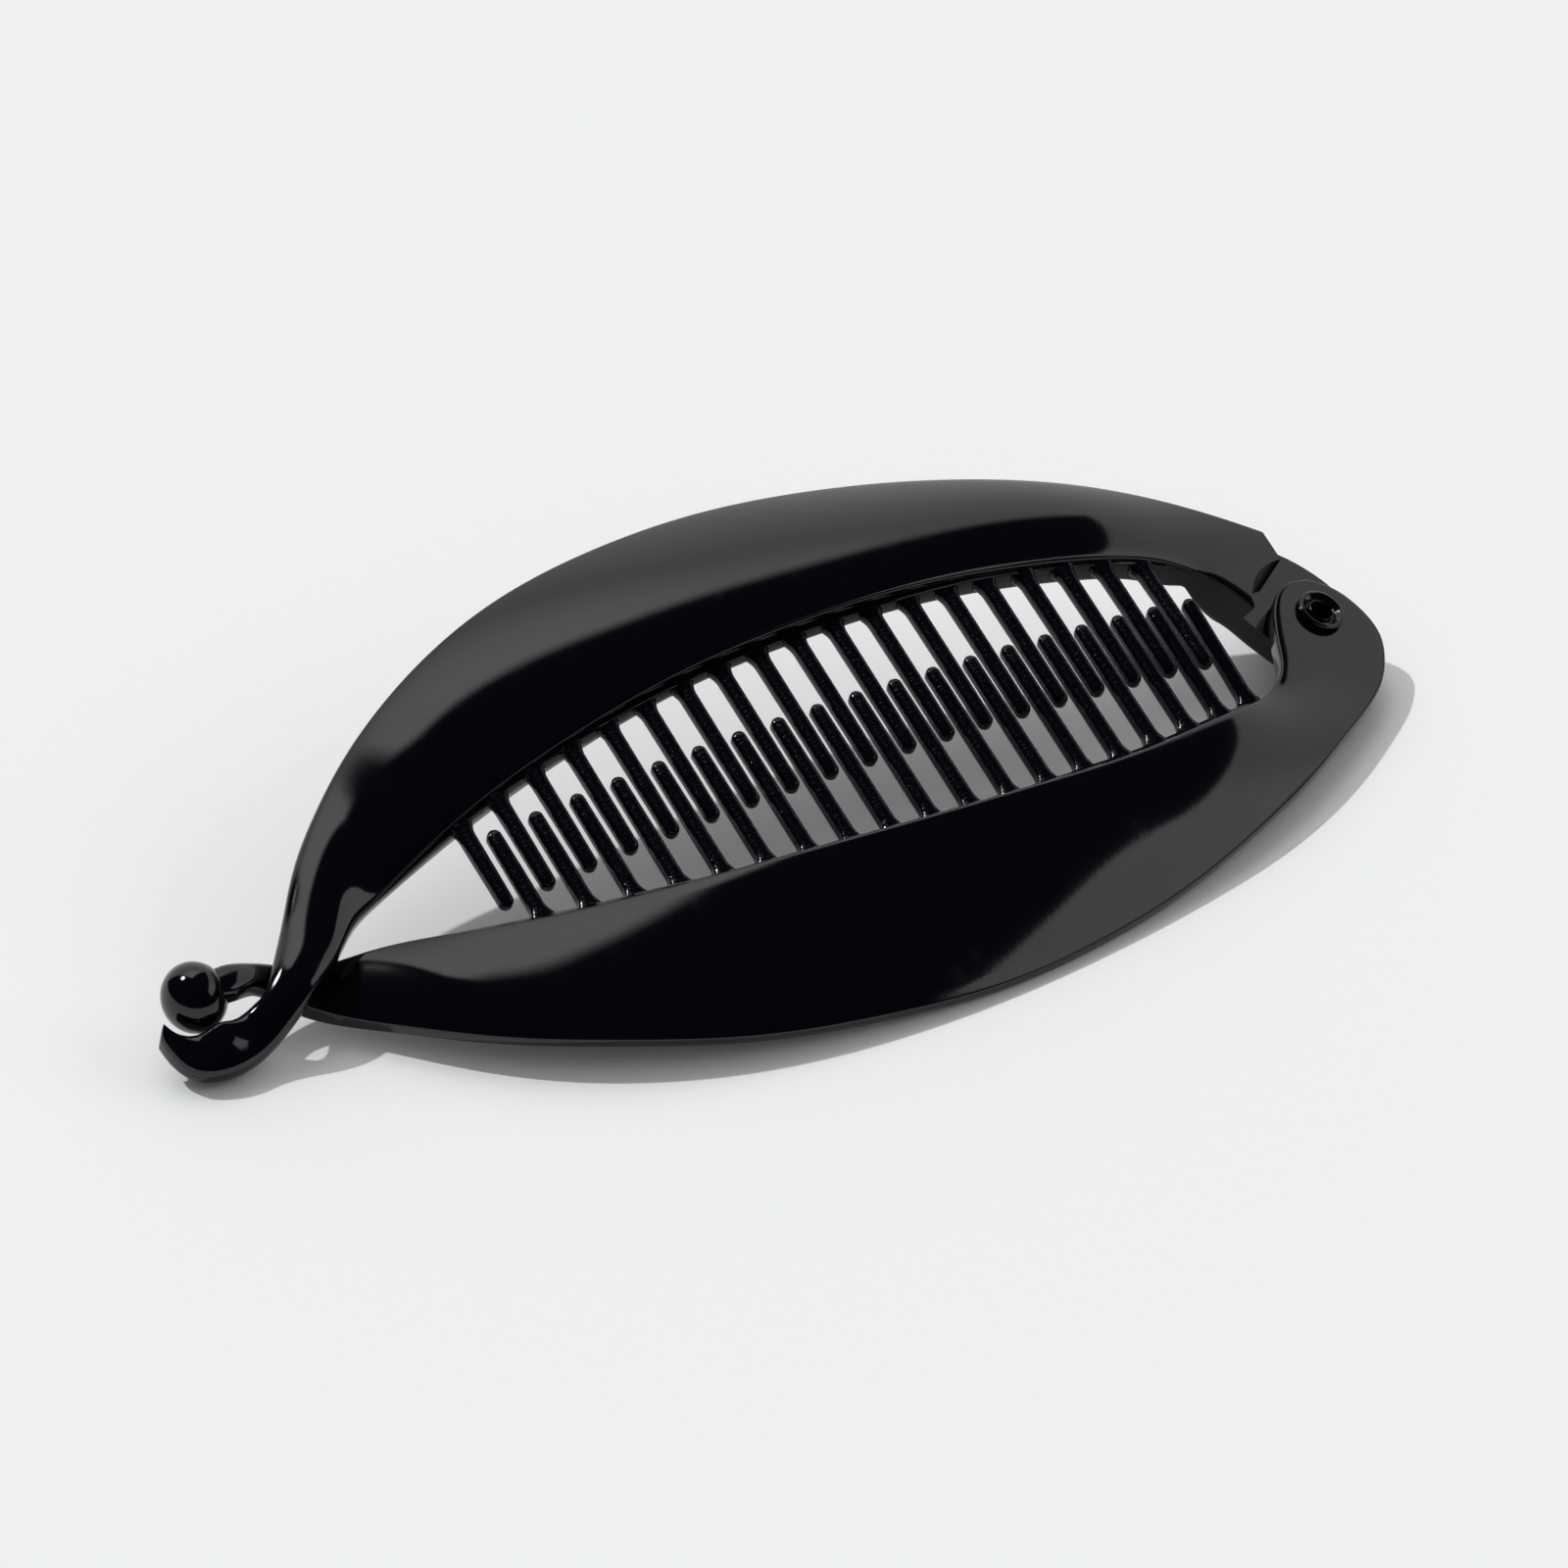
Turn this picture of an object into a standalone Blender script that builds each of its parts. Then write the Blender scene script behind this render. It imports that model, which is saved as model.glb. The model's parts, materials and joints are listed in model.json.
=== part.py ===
"""A closed banana hair clip: two curved comb halves, a snap hook over a knob, and a hollow hinge pin.

The clip is drawn in its own frame: X runs from the clasp (minus) to the hinge (plus), the halves mirror
each other across Y = 0, and Z is square to the comb. It is then laid down in its resting pose.
Run with: blender --background --python part.py
"""
import math
from collections import namedtuple

import bmesh
import bpy
from mathutils import Matrix, Vector

MM = 0.001

# Comb, in millimetres
TEETH = 19
TOOTH_PITCH = 4.2
TOOTH_WIDTH = 1.6
TOOTH_TIP_WIDTH = 1.42
TOOTH_THICKNESS = 1.5
TOOTH_REACH = 3.9
TOOTH_SIDES = 10
TOOTH_ROOT_FLARE = 1.3
TOOTH_FLARE_LENGTH = 1.1
TOOTH_SINK = 1.0
TOOTH_COVER = 0.3
TOOTH_TIP_ROUNDING = ((0.42, 0.82), (0.08, 0.42))
COMB_HALF = 40.0
COMB_ARCH = (-3.2, 0.58, -0.6)

# Shell of each half, in millimetres
SKIN = 1.6
HOOK_HALF_SKIN = 1.5
KNOB_HALF_SKIN = 1.9
INNER_WALL = 1.6
RAIL_PROUD = 0.45
END_RAIL = 0.03
RAIL_TOP_OVER_COMB = 0.85
RAIL_DROP_LEAST = 0.25
RAIL_DROP_MOST = 1.3
INNER_WALL_SHARE_MOST = 0.4
UNDERSIDE_SHARE = 0.92
TOP_POINTS = 7
UNDER_POINTS = 5
STEPS_PER_SPAN = 2

# Hinge, in millimetres and degrees
HINGE_X = 54.0
HINGE_TOP_Z = -6.2
HINGE_TILT = 12.7
EAR_TOP = -0.55
UPPER_EAR = 2.1
LOWER_EAR = 3.0
LAP_GAP = 0.3
LAP_RADIUS_TOP = 7.0
LAP_RADIUS_UNDER = 7.4
LAP_STEP_X = 53.8
LAP_STEP_SIZE = 20.0
LAP_STEP_OUT = 8.0
CUT_BELOW = -20.0
CUT_ABOVE = 12.0
NECK_PLAN = ((44.0, 6.9), (53.2, 11.0))
NECK_THINNING = 0.75
NECK_LEAST = 2.0
NECK_CROWN = 0.15
NECK_INNER_DROP = 3.0
BORE_RADIUS = 1.95
PIN_RADIUS = 1.62
PIN_HOLE_RADIUS = 1.1
PIN_HEAD_RADIUS = 2.35
PIN_HEAD_HEIGHT = 0.45
PIN_HEAD_BEVEL = 0.2
PIN_FOOT_RADIUS = 2.0
PIN_FOOT_HEIGHT = 1.1
PIN_SEAT_GAP = 0.3
PIN_SIDES = 32

# Knob at the clasp, in millimetres
KNOB_CENTRE = (-67.2, 0.2, -8.3)
KNOB_RADIUS = 3.3
KNOB_FLATNESS = 0.91
KNOB_NECK_RADIUS = 0.85
KNOB_FILLET = 2.0
KNOB_NECK_END = (-62.0, 0.1, -7.35)
KNOB_SIDES = 24
KNOB_FILLET_STEPS = 4

# The near half lies a little flatter between its edges than the far one
KNOB_HALF_CROWN = 0.65

# Resting pose: the clip lies on its hook, its hinge end and the rim of the knob half
REST_LEAN = 20.8

BLACK_PLASTIC = (0.012, 0.012, 0.014)
PLASTIC_ROUGHNESS = 0.12

# One row for each section of a half. The inner edge faces the other half, the outer edge is the rim;
# y counts outwards from the middle of the clip. crown is the rise of the top surface between the edges,
# rim and inner_drop are the heights of the two walls, skin and rim_skin are the thickness of the shell at
# the inner wall and at the rim, and rail is how far the inner wall's rail stands proud.
Section = namedtuple("Section", "inner outer crown rim inner_drop skin rim_skin rail")


def ear_top_z(x):
    """Height of the flat top of the hinge ears."""
    slope = math.tan(math.radians(HINGE_TILT))
    return HINGE_TOP_Z + EAR_TOP / math.cos(math.radians(HINGE_TILT)) - slope * (x - HINGE_X)


# Plan of the flat hinge end, from its tip round the pin to the arm
EAR_PLAN = [
    ((52.7, -4.15), (55.3, -4.1)),
    ((50.9, -3.3), (57.4, -2.7)),
    ((49.3, -1.6), (58.7, -0.6)),
    ((48.2, 0.3), (59.3, 1.6)),
    ((47.3, 2.2), (59.2, 3.7)),
    ((46.5, 4.0), (58.3, 5.8)),
    ((45.4, 5.7), (56.3, 8.5)),
]

ARM_SECTIONS = [
    Section((42.0, 8.1, -3.8), (48.6, 13.8, -5.35), 0.4, 1.7, 3.2, 2.0, 2.0, 0.1),
    Section((37.5, 9.35, -2.15), (42.0, 17.6, -4.1), 0.9, 1.6, 3.1, 2.2, 2.2, 0.4),
    Section((31.5, 10.45, -0.9), (34.5, 21.1, -3.2), 1.3, 1.3, 3.0, 1.8, 1.8, RAIL_PROUD),
    Section((24.0, 11.42, 0.13), (25.0, 24.6, -2.85), 1.5, 1.25, 3.0, 1.6, 1.6, RAIL_PROUD),
    Section((12.0, 12.0, 1.62), (12.0, 27.65, -2.45), 1.6, 1.25, 3.0, 1.6, 1.6, RAIL_PROUD),
    Section((0.0, 11.75, 2.11), (0.0, 28.85, -1.95), 1.6, 1.25, 3.0, 1.6, 1.6, RAIL_PROUD),
    Section((-12.0, 10.87, 1.83), (-12.0, 28.2, -1.35), 1.6, 1.25, 3.0, 1.6, 1.6, RAIL_PROUD),
    Section((-24.0, 9.18, 0.13), (-24.0, 26.0, -1.25), 1.5, 1.25, 3.0, 1.6, 1.6, RAIL_PROUD),
    Section((-36.0, 6.55, -2.31), (-36.0, 21.35, -2.05), 1.3, 1.25, 2.8, 1.6, 1.6, RAIL_PROUD),
    Section((-42.0, 4.61, -3.91), (-42.0, 18.05, -3.25), 1.2, 1.25, 2.3, 1.6, 1.6, 0.3),
]

HOOK_SECTIONS = [
    Section((-48.0, 2.38, -5.7), (-48.0, 13.6, -4.7), 1.1, 1.25, 1.7, 1.6, 1.6, 0.05),
    Section((-51.5, 0.3, -5.6), (-53.5, 8.1, -5.1), 0.9, 1.25, 1.4, 1.6, 1.6, 0.03),
    Section((-54.4, -2.2, -5.4), (-57.0, 3.4, -5.5), 0.7, 1.25, 1.3, 1.5, 1.5, 0.03),
    Section((-57.3, -4.2, -5.5), (-59.9, -0.4, -5.6), 0.75, 1.25, 1.4, 1.2, 1.25, 0.03),
    Section((-59.9, -5.7, -6.7), (-61.8, -2.6, -6.0), 0.6, 1.35, 1.5, 1.1, 1.35, 0.03),
    Section((-62.4, -6.8, -8.2), (-63.1, -3.0, -6.9), 0.6, 4.8, 1.5, 1.2, 4.7, 0.03),
    Section((-65.0, -7.6, -8.9), (-65.05, -3.4, -7.6), 0.7, 4.9, 1.4, 1.2, 4.8, 0.03),
    Section((-67.3, -7.85, -8.95), (-67.0, -3.6, -7.0), 0.6, 5.9, 1.3, 1.2, 5.8, 0.03),
    Section((-69.6, -7.2, -9.1), (-68.9, -3.6, -7.9), 0.6, 4.9, 1.3, 1.2, 4.8, 0.03),
    Section((-71.1, -5.7, -9.1), (-70.4, -2.8, -8.0), 0.5, 3.8, 1.3, 1.2, 3.7, 0.03),
    Section((-71.7, -3.9, -9.0), (-70.9, -2.1, -7.9), 0.3, 2.9, 1.3, 1.2, 2.8, 0.03),
    Section((-71.85, -2.6, -8.95), (-71.15, -1.5, -7.9), 0.2, 2.5, 1.3, 1.2, 2.4, 0.03),
]

TAIL_SECTIONS = [
    Section((-48.0, 2.4, -5.95), (-48.0, 13.5, -5.35), 1.0, 1.25, 1.9, 1.6, 1.6, 0.05),
    Section((-51.0, 1.5, -7.1), (-51.2, 10.4, -6.9), 0.6, 1.3, 1.8, 1.6, 1.6, 0.03),
    Section((-54.0, 0.8, -8.2), (-54.3, 7.2, -8.5), 0.25, 1.5, 1.8, 1.7, 1.7, 0.03),
    Section((-56.8, 0.1, -8.35), (-57.3, 4.3, -9.1), 0.15, 1.8, 2.2, 2.0, 2.0, 0.03),
    Section((-59.4, -0.9, -7.7), (-59.8, 2.5, -8.1), 0.2, 1.8, 1.9, 1.9, 1.9, 0.03),
    Section((-62.0, -1.5, -6.95), (-62.0, 1.5, -7.0), 0.3, 1.6, 1.6, 1.6, 1.6, 0.03),
    Section((-64.2, -1.6, -6.4), (-64.2, 1.8, -6.2), 0.3, 1.7, 1.7, 1.8, 1.8, 0.03),
    Section((-66.2, -1.2, -6.3), (-66.2, 1.3, -6.0), 0.3, 2.4, 2.4, 2.4, 2.4, 0.03),
]


def ear_sections(thickness, rim):
    """Sections of the flat hinge end, whose edges lie on the ear's top plane."""
    rows = []
    for inner, outer in EAR_PLAN:
        inner_edge = (inner[0], inner[1], ear_top_z(inner[0]))
        outer_edge = (outer[0], outer[1], ear_top_z(outer[0]))
        rows.append(Section(inner_edge, outer_edge, 0.0, rim, thickness, thickness, thickness, END_RAIL))
    neck_inner, neck_outer = [(x, y, ear_top_z(x)) for x, y in NECK_PLAN]
    neck = max(thickness * NECK_THINNING, NECK_LEAST)
    rim = rim * NECK_THINNING
    rows.append(Section(neck_inner, neck_outer, NECK_CROWN, rim, NECK_INNER_DROP, neck, neck, END_RAIL))
    return rows


def comb_z(x):
    """Height of the middle of the comb, which arches along the clip."""
    u = x / COMB_HALF
    square, cube, fourth = COMB_ARCH
    return square * u ** 2 + cube * u ** 3 + fourth * u ** 4


def lerp(a, b, t):
    return a + (b - a) * t


def catmull(p0, p1, p2, p3, t):
    """Value at t between p1 and p2 of a smooth curve through four values."""
    return 0.5 * (2 * p1 + (p2 - p0) * t + (2 * p0 - 5 * p1 + 4 * p2 - p3) * t ** 2
                  + (3 * p1 - p0 - 3 * p2 + p3) * t ** 3)


def flatten(section):
    return [*section.inner, *section.outer, *section[2:]]


def refine(sections):
    """More sections between the given ones, on a smooth curve through all their values."""
    rows = [flatten(s) for s in sections]
    fine = []
    for i in range(len(rows) - 1):
        near = [rows[max(i - 1, 0)], rows[i], rows[i + 1], rows[min(i + 2, len(rows) - 1)]]
        for k in range(STEPS_PER_SPAN):
            t = k / STEPS_PER_SPAN
            fine.append([catmull(*values, t) for values in zip(*near)])
    fine.append(rows[-1])
    return [Section(tuple(r[0:3]), tuple(r[3:6]), *r[6:]) for r in fine]


def section_outline(section):
    """Closed outline of one section: top from inner edge to rim, underside back, then the inner wall."""
    inner = Vector(section.inner)
    outer = Vector(section.outer)
    width = (outer - inner).length
    across = (outer - inner) / width

    def top(f):
        return inner.lerp(outer, f) + Vector((0, 0, 4 * section.crown * f * (1 - f)))

    wall = min(INNER_WALL / width, INNER_WALL_SHARE_MOST)
    down = Vector((0, 0, -1))
    points = [top(i / (TOP_POINTS - 1)) for i in range(TOP_POINTS)]
    points.append(outer + down * section.rim)
    for i in range(UNDER_POINTS):
        f = lerp(UNDERSIDE_SHARE, wall, i / (UNDER_POINTS - 1))
        points.append(top(f) + down * lerp(section.skin, section.rim_skin, f))
    foot = inner + down * max(section.inner_drop, section.skin + 0.05)
    rail_drop = inner.z - comb_z(inner.x) - RAIL_TOP_OVER_COMB
    rail_drop = min(max(rail_drop, RAIL_DROP_LEAST), RAIL_DROP_MOST, section.inner_drop / 2)
    points.append(foot + across * wall * width)
    points.append(foot - across * section.rail)
    points.append(inner + down * rail_drop - across * section.rail)
    points.append(inner + down * rail_drop)
    return points


def new_object(name, bm, collection):
    """An object from a bmesh given in millimetres, with its origin on the hinge axis."""
    hinge = Vector((HINGE_X, 0, HINGE_TOP_Z))
    bmesh.ops.translate(bm, verts=bm.verts, vec=-hinge)
    bmesh.ops.scale(bm, verts=bm.verts, vec=(MM, MM, MM))
    bmesh.ops.recalc_face_normals(bm, faces=bm.faces)
    if bm.calc_volume(signed=True) < 0:
        bmesh.ops.reverse_faces(bm, faces=bm.faces)
    mesh = bpy.data.meshes.new(name)
    bm.to_mesh(mesh)
    bm.free()
    obj = bpy.data.objects.new(name, mesh)
    obj.location = hinge * MM
    collection.objects.link(obj)
    return obj


def loft(outlines):
    """A closed body through outlines of equal point counts, capped at both ends."""
    bm = bmesh.new()
    rings = [[bm.verts.new(p) for p in outline] for outline in outlines]
    for a, b in zip(rings[:-1], rings[1:]):
        for i in range(len(a)):
            j = (i + 1) % len(a)
            bm.faces.new((a[i], a[j], b[j], b[i]))
    bm.faces.new(rings[0])
    bm.faces.new(reversed(rings[-1]))
    bmesh.ops.triangulate(bm, faces=bm.faces)
    return bm


def half_shell(hinge_sections, end_sections, side, skin, crown_share):
    """Shell of one half, from the hinge ear to the clasp end; side is +1 or -1 along Y."""
    extra = skin - SKIN
    arm = [s._replace(skin=s.skin + extra, rim_skin=s.rim_skin + extra, crown=s.crown * crown_share)
           for s in ARM_SECTIONS]
    sections = refine(hinge_sections + arm + end_sections)
    outlines = [section_outline(s) for s in sections]
    return loft([[Vector((p.x, p.y * side, p.z)) for p in outline] for outline in outlines])


def inner_edge(x):
    """Distance of a half's inner edge from the middle of the clip, and its height, at x along the comb."""
    fine = [s.inner for s in refine(ARM_SECTIONS)]
    for a, b in zip(fine[:-1], fine[1:]):
        if b[0] <= x <= a[0]:
            t = (x - a[0]) / (b[0] - a[0])
            return lerp(a[1], b[1], t), lerp(a[2], b[2], t)
    return fine[-1][1], fine[-1][2]


def tooth_ring(bm, x, y, z, width, thickness):
    """Rounded ring of a tooth: a squared ellipse in the XZ plane."""
    ring = []
    for i in range(TOOTH_SIDES):
        angle = 2 * math.pi * (i + 0.5) / TOOTH_SIDES
        ring.append(bm.verts.new((x + width / 2 * math.cos(angle), y, z + thickness / 2 * math.sin(angle))))
    return ring


def add_tooth(bm, x, side):
    """One tooth from inside the inner wall to its round tip, which reaches past the middle."""
    edge_y, edge_z = inner_edge(x)
    root = edge_y - RAIL_PROUD
    root_z = min(comb_z(x), edge_z - TOOTH_COVER - TOOTH_THICKNESS / 2)
    cap = TOOTH_TIP_WIDTH / 2
    tip = -TOOTH_REACH
    stations = [
        (root + TOOTH_SINK, TOOTH_WIDTH * TOOTH_ROOT_FLARE, TOOTH_THICKNESS),
        (root, TOOTH_WIDTH * TOOTH_ROOT_FLARE, TOOTH_THICKNESS),
        (root - TOOTH_FLARE_LENGTH, TOOTH_WIDTH, TOOTH_THICKNESS),
        (tip + cap, TOOTH_TIP_WIDTH, TOOTH_THICKNESS),
    ]
    stations += [(tip + cap * along, TOOTH_TIP_WIDTH * size, TOOTH_THICKNESS * size)
                 for along, size in TOOTH_TIP_ROUNDING]
    rings = []
    for y, w, t in stations:
        z = lerp(comb_z(x), root_z, (y - tip) / (root - tip))
        rings.append(tooth_ring(bm, x, y * side, z, w, t))
    for a, b in zip(rings[:-1], rings[1:]):
        for i in range(TOOTH_SIDES):
            j = (i + 1) % TOOTH_SIDES
            bm.faces.new((a[i], a[j], b[j], b[i]))
    bm.faces.new(rings[0])
    bm.faces.new(reversed(rings[-1]))


def comb(side):
    """All teeth of one half as loose bodies, to be joined to its shell."""
    bm = bmesh.new()
    shift = 0.0 if side > 0 else TOOTH_PITCH / 2
    for i in range(TEETH):
        x = (i - (TEETH - 1) / 2) * TOOTH_PITCH + shift
        add_tooth(bm, x, side)
    return bm


def knob():
    """The ball and the hollow rounding that leads from it to the tail, turned about the tail's axis."""
    axis = Vector(KNOB_NECK_END) - Vector(KNOB_CENTRE)
    hollow_out = KNOB_NECK_RADIUS + KNOB_FILLET
    hollow_along = math.sqrt((KNOB_RADIUS + KNOB_FILLET) ** 2 - hollow_out ** 2)
    leave = math.atan2(hollow_out, hollow_along)
    steps = KNOB_SIDES // 2
    profile = []
    for i in range(steps + 1):
        angle = lerp(math.pi, leave, i / steps)
        profile.append((KNOB_RADIUS * math.cos(angle), KNOB_RADIUS * math.sin(angle)))
    for i in range(1, KNOB_FILLET_STEPS + 1):
        angle = lerp(math.pi + leave, 1.5 * math.pi, i / KNOB_FILLET_STEPS)
        profile.append((hollow_along + KNOB_FILLET * math.cos(angle), hollow_out + KNOB_FILLET * math.sin(angle)))
    profile.append((hollow_along, 0.0))
    bm = bmesh.new()
    loop = [bm.verts.new((0.0, out, along)) for along, out in profile]
    edges = [bm.edges.new(pair) for pair in zip(loop[:-1], loop[1:])]
    bmesh.ops.spin(bm, geom=loop + edges, axis=(0, 0, 1), cent=(0, 0, 0), steps=KNOB_SIDES, angle=2 * math.pi)
    bmesh.ops.remove_doubles(bm, verts=bm.verts, dist=0.001)
    turn = axis.to_track_quat('Z', 'Y').to_matrix().to_4x4()
    squeeze = Matrix.Scale(KNOB_FLATNESS, 4, (1, 0, 0))
    bmesh.ops.transform(bm, verts=bm.verts, matrix=Matrix.Translation(KNOB_CENTRE) @ squeeze @ turn)
    return bm


def hinge_matrix(depth):
    """Frame on the hinge axis, depth below the top of the pin, in millimetres."""
    tilt = Matrix.Rotation(math.radians(HINGE_TILT), 4, 'Y')
    return Matrix.Translation((HINGE_X, 0, HINGE_TOP_Z)) @ tilt @ Matrix.Translation((0, 0, depth))


def hinge_cylinder(radius, low, high, sides=64):
    """Cylinder on the hinge axis between two depths."""
    bm = bmesh.new()
    bmesh.ops.create_cone(bm, cap_ends=True, segments=sides, radius1=radius, radius2=radius,
                          depth=high - low, matrix=hinge_matrix((low + high) / 2))
    return bm


def boolean(obj, other, operation):
    """Live Boolean of one object with another."""
    mod = obj.modifiers.new(other.name, 'BOOLEAN')
    mod.object = other
    mod.operation = operation
    mod.solver = 'EXACT'


def helper(name, bm, collection):
    """An object that only joins or cuts another one."""
    obj = new_object(name, bm, collection)
    obj.hide_render = True
    obj.display_type = 'WIRE'
    return obj


def plastic(name):
    """Gloss black moulded plastic."""
    mat = bpy.data.materials.new(name)
    mat.use_nodes = True
    shader = mat.node_tree.nodes["Principled BSDF"]
    shader.inputs["Base Color"].default_value = (*BLACK_PLASTIC, 1)
    shader.inputs["Roughness"].default_value = PLASTIC_ROUGHNESS
    shader.inputs["Metallic"].default_value = 0.0
    return mat


def make_hook_half(parts, cutters):
    """Half whose hinge ear lies underneath and whose far end is the snap hook."""
    full_ear = UPPER_EAR + LAP_GAP + LOWER_EAR
    shell = half_shell(ear_sections(full_ear, full_ear), HOOK_SECTIONS, 1, HOOK_HALF_SKIN, 1.0)
    half = new_object("hook_half", shell, parts)
    lap_floor = EAR_TOP - UPPER_EAR - LAP_GAP
    boolean(half, helper("hook_teeth", comb(1), cutters), 'UNION')
    boolean(half, helper("hook_lap", hinge_cylinder(LAP_RADIUS_TOP, lap_floor, CUT_ABOVE), cutters), 'DIFFERENCE')
    step = bmesh.new()
    bmesh.ops.create_cube(step, size=LAP_STEP_SIZE)
    half_size = LAP_STEP_SIZE / 2
    bmesh.ops.translate(step, verts=step.verts, vec=(LAP_STEP_X - HINGE_X + half_size, LAP_STEP_OUT, half_size))
    bmesh.ops.transform(step, verts=step.verts, matrix=hinge_matrix(lap_floor))
    boolean(half, helper("hook_lap_step", step, cutters), 'DIFFERENCE')
    bore = hinge_cylinder(BORE_RADIUS, CUT_BELOW, CUT_ABOVE, PIN_SIDES)
    boolean(half, helper("hook_bore", bore, cutters), 'DIFFERENCE')
    half.data.materials.append(plastic("hook_half_plastic"))
    return half


def make_knob_half(parts, cutters):
    """Half whose hinge ear lies on top and whose far end is the ball knob."""
    ear = ear_sections(UPPER_EAR, UPPER_EAR)
    shell = half_shell(ear, TAIL_SECTIONS, -1, KNOB_HALF_SKIN, KNOB_HALF_CROWN)
    half = new_object("knob_half", shell, parts)
    lap_roof = EAR_TOP - UPPER_EAR
    boolean(half, helper("knob_teeth", comb(-1), cutters), 'UNION')
    boolean(half, helper("knob_ball", knob(), cutters), 'UNION')
    boolean(half, helper("knob_lap", hinge_cylinder(LAP_RADIUS_UNDER, CUT_BELOW, lap_roof), cutters), 'DIFFERENCE')
    bore = hinge_cylinder(BORE_RADIUS, CUT_BELOW, CUT_ABOVE, PIN_SIDES)
    boolean(half, helper("knob_bore", bore, cutters), 'DIFFERENCE')
    half.data.materials.append(plastic("knob_half_plastic"))
    return half


def make_hinge_pin(parts):
    """Hollow pin with a round head above and below the two ears."""
    head_low = EAR_TOP + PIN_SEAT_GAP
    foot_high = EAR_TOP - UPPER_EAR - LAP_GAP - LOWER_EAR - PIN_SEAT_GAP
    head_high = head_low + PIN_HEAD_HEIGHT
    foot_low = foot_high - PIN_FOOT_HEIGHT
    profile = [
        (PIN_HOLE_RADIUS, head_high),
        (PIN_HEAD_RADIUS - PIN_HEAD_BEVEL, head_high),
        (PIN_HEAD_RADIUS, head_high - PIN_HEAD_BEVEL),
        (PIN_HEAD_RADIUS, head_low),
        (PIN_RADIUS, head_low),
        (PIN_RADIUS, foot_high),
        (PIN_FOOT_RADIUS, foot_high),
        (PIN_FOOT_RADIUS, foot_low),
        (PIN_HOLE_RADIUS, foot_low),
    ]
    bm = bmesh.new()
    rings = []
    for k in range(PIN_SIDES):
        angle = 2 * math.pi * k / PIN_SIDES
        rings.append([bm.verts.new((r * math.cos(angle), r * math.sin(angle), z)) for r, z in profile])
    for k in range(PIN_SIDES):
        a = rings[k]
        b = rings[(k + 1) % PIN_SIDES]
        for i in range(len(profile)):
            j = (i + 1) % len(profile)
            bm.faces.new((a[i], a[j], b[j], b[i]))
    bmesh.ops.transform(bm, verts=bm.verts, matrix=hinge_matrix(0))
    pin = new_object("hinge_pin", bm, parts)
    pin.data.materials.append(plastic("hinge_pin_plastic"))
    return pin


def lowest_and_middle(objects):
    """World box of the evaluated objects: its lowest height and its middle in plan."""
    bpy.context.view_layer.update()
    depsgraph = bpy.context.evaluated_depsgraph_get()
    points = []
    for obj in objects:
        shape = obj.evaluated_get(depsgraph)
        points += [shape.matrix_world @ v.co for v in shape.data.vertices]
    lows = [min(p[i] for p in points) for i in range(3)]
    highs = [max(p[i] for p in points) for i in range(3)]
    return Vector(((lows[0] + highs[0]) / 2, (lows[1] + highs[1]) / 2, lows[2]))


def lay_down(pieces, helpers, collection):
    """Turn the clip into its resting pose, with the origin under the middle of its box."""
    rest = bpy.data.objects.new("resting_pose", None)
    rest.rotation_euler = (math.radians(REST_LEAN), 0, 0)
    collection.objects.link(rest)
    for obj in pieces + helpers:
        obj.parent = rest
    rest.location = -lowest_and_middle(pieces)


def main():
    for obj in list(bpy.data.objects):
        bpy.data.objects.remove(obj, do_unlink=True)
    scene = bpy.context.scene
    scene.unit_settings.system = 'METRIC'
    parts = bpy.data.collections.new("banana_hair_clip")
    cutters = bpy.data.collections.new("banana_hair_clip_cutters")
    scene.collection.children.link(parts)
    scene.collection.children.link(cutters)
    pieces = [make_hook_half(parts, cutters), make_knob_half(parts, cutters), make_hinge_pin(parts)]
    lay_down(pieces, list(cutters.objects), parts)


if __name__ == "__main__":
    main()
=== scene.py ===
"""Looks of a closed banana hair clip: two arched comb halves, a hollow hinge pin and a pale studio.

The pieces are modelled in the clip's own frame, in millimetres: X runs from the clasp (minus) to the
hinge (plus), the halves mirror each other across Y = 0, and Z is square to the comb. The resting pose
is then the transform of each piece.
"""

import json
import math
from collections import namedtuple

import bmesh
import bpy
import numpy as np
from bpy.props import FloatProperty, FloatVectorProperty, IntProperty, PointerProperty
from mathutils import Matrix, Vector


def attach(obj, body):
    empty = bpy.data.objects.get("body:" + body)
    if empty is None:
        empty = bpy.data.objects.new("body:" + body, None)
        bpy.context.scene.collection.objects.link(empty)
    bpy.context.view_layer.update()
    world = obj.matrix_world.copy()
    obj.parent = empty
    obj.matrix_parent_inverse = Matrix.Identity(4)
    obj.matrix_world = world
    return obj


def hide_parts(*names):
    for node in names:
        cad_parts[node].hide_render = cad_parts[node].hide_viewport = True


bl_info = {
    "name": "Banana hair clip",
    "version": (1, 0, 0),
    "blender": (4, 5, 0),
    "location": "3D View > Sidebar > Hair clip",
    "description": "Models a glossy moulded banana hair clip and its studio",
    "category": "Add Mesh",
}

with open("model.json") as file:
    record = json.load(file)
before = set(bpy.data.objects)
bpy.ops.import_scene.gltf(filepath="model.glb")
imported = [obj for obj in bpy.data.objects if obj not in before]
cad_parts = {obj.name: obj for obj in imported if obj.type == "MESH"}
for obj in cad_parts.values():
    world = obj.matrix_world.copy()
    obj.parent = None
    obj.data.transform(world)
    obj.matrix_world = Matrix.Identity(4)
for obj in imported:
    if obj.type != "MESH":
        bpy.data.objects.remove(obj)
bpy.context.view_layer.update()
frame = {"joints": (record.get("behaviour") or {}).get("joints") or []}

MM = 0.001
DOWN = Vector((0, 0, -1))

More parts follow.
